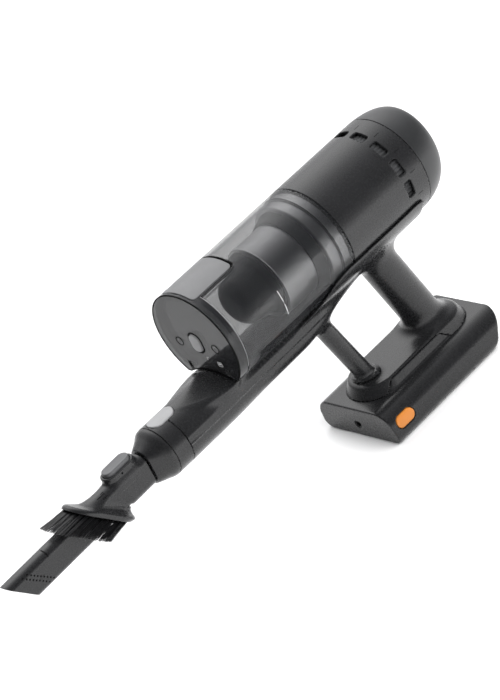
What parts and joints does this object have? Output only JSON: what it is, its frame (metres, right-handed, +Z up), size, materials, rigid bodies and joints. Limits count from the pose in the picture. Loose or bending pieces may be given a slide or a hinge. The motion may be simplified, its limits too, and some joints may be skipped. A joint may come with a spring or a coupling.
{
  "type": "handheld vacuum",
  "caption": "Handheld stick-style vacuum with a clear dust bin, pillar handle, slide-on battery base and a crevice tool with a sliding brush.",
  "frame": {"origin": "centre of the battery's flat bottom, on the surface it stands on", "axes": "+X forward along the tube to the crevice tool, +Y to the left, +Z up"},
  "size_m": [0.532, 0.095, 0.2345],
  "materials": {
    "charcoal_plastic": "satin charcoal with a faint metallic look",
    "grey_plastic": "satin slate grey",
    "light_grey_plastic": "satin",
    "orange_plastic": "satin",
    "black_plastic": "matte",
    "display_window": "gloss",
    "smoky_clear": "clear smoky plastic, polished",
    "bristle": "fine nylon bristles",
    "seal_rubber": "soft rubber",
    "filter_foam": "open foam",
    "steel": "bright",
    "copper_winding": "enamelled copper wire",
    "circuit_board": "green solder mask",
    "cell_wrap": "shrink wrap"
  },
  "bodies": {
    "frame": {"main_frame": "charcoal_plastic", "tube_collar": "charcoal_plastic", "release_spring": "steel", "duct_seal": "seal_rubber", "motor_housing": "charcoal_plastic", "console_housing": "black_plastic", "display_panel": "display_window", "control_board": "circuit_board", "motor_board": "circuit_board", "motor_can": "steel", "stator": "copper_winding", "front_bearing": "steel", "rear_bearing": "steel", "fan_shroud": "black_plastic", "motor_mount_front": "seal_rubber", "motor_mount_rear": "seal_rubber"},
    "fan": {"motor_shaft": "steel", "rotor": "steel", "impeller": "steel"},
    "rear_cap": {"rear_cap": "grey_plastic", "exhaust_filter": "filter_foam"},
    "power_button": {"power_button": "light_grey_plastic"},
    "tube_release_button": {"tube_release_button": "light_grey_plastic"},
    "dust_bin": {"dust_bin": "smoky_clear", "latch_spring": "steel", "cyclone_core": "grey_plastic", "cyclone_cone": "black_plastic", "mesh_shroud": "black_plastic", "filter_flange": "black_plastic", "cyclone_band": "black_plastic", "pre_filter": "filter_foam"},
    "bin_lid": {"bin_lid": "smoky_clear", "lid_seal": "seal_rubber", "hinge_pin_left": "steel", "hinge_pin_right": "steel"},
    "latch_panel": {"latch_panel": "grey_plastic"},
    "bin_release_button": {"bin_release_button": "light_grey_plastic"},
    "battery": {"battery_shell": "charcoal_plastic", "battery_bottom": "charcoal_plastic", "cell_1": "cell_wrap", "cell_2": "cell_wrap", "cell_3": "cell_wrap", "cell_4": "cell_wrap", "cell_5": "cell_wrap", "cell_6": "cell_wrap", "battery_board": "circuit_board", "battery_terminals": "black_plastic", "charge_socket": "black_plastic", "battery_button_spring": "steel"},
    "battery_button": {"battery_button": "orange_plastic", "battery_latch": "black_plastic"},
    "tool": {"tool_connector": "charcoal_plastic", "crevice_nozzle": "charcoal_plastic"},
    "brush_sleeve": {"brush_sleeve": "charcoal_plastic", "brush_bristles": "bristle", "sleeve_button_spring": "steel"},
    "sleeve_button": {"sleeve_button": "grey_plastic"}
  },
  "joints": [
    {"name": "fan_spin", "type": "hinge", "parent": "frame", "child": "fan", "pos_m": [0, 0, 0.187], "axis": [1, 0, 0], "continuous": true},
    {"name": "rear_cap_twist", "type": "hinge", "parent": "frame", "child": "rear_cap", "pos_m": [-0.07, 0, 0.187], "axis": [1, 0, 0], "range_deg": [0, 30]},
    {"name": "power_press", "type": "slide", "parent": "frame", "child": "power_button", "axis": [1, 0, 0], "range_m": [0, 0.0015], "stiffness_N_per_m": 600, "springref_m": -0.0015},
    {"name": "tube_release_press", "type": "slide", "parent": "frame", "child": "tube_release_button", "axis": [0, 0, -1], "range_m": [0, 0.0015], "stiffness_N_per_m": 600, "springref_m": -0.0015},
    {"name": "bin_lift", "type": "slide", "parent": "frame", "child": "dust_bin", "axis": [0, 0, 1], "range_m": [0, 0.1]},
    {"name": "lid_hinge", "type": "hinge", "parent": "dust_bin", "child": "bin_lid", "pos_m": [0.1754, 0, 0.1595], "axis": [0, 1, 0], "range_deg": [0, 75]},
    {"name": "latch_press", "type": "slide", "parent": "dust_bin", "child": "latch_panel", "axis": [0, 0, -1], "range_m": [0, 0.0012], "stiffness_N_per_m": 600, "springref_m": -0.0015},
    {"name": "bin_release_press", "type": "slide", "parent": "bin_lid", "child": "bin_release_button", "axis": [-1, 0, 0], "range_m": [0, 0.0025], "stiffness_N_per_m": 600, "springref_m": -0.0015},
    {"name": "battery_slide", "type": "slide", "parent": "frame", "child": "battery", "axis": [0, 0, -1], "range_m": [0, 0.06]},
    {"name": "battery_button_press", "type": "slide", "parent": "battery", "child": "battery_button", "axis": [0, -1, 0], "range_m": [0, 0.002], "stiffness_N_per_m": 600, "springref_m": -0.0015},
    {"name": "tool_pull", "type": "slide", "parent": "frame", "child": "tool", "axis": [1, 0, 0], "range_m": [0, 0.04]},
    {"name": "brush_slide", "type": "slide", "parent": "tool", "child": "brush_sleeve", "axis": [0.9997, 0, -0.0227], "range_m": [0, 0.075]},
    {"name": "sleeve_button_press", "type": "slide", "parent": "brush_sleeve", "child": "sleeve_button", "axis": [0, 0, -1], "range_m": [0, 0.0015], "stiffness_N_per_m": 600, "springref_m": -0.0015}
  ]
}
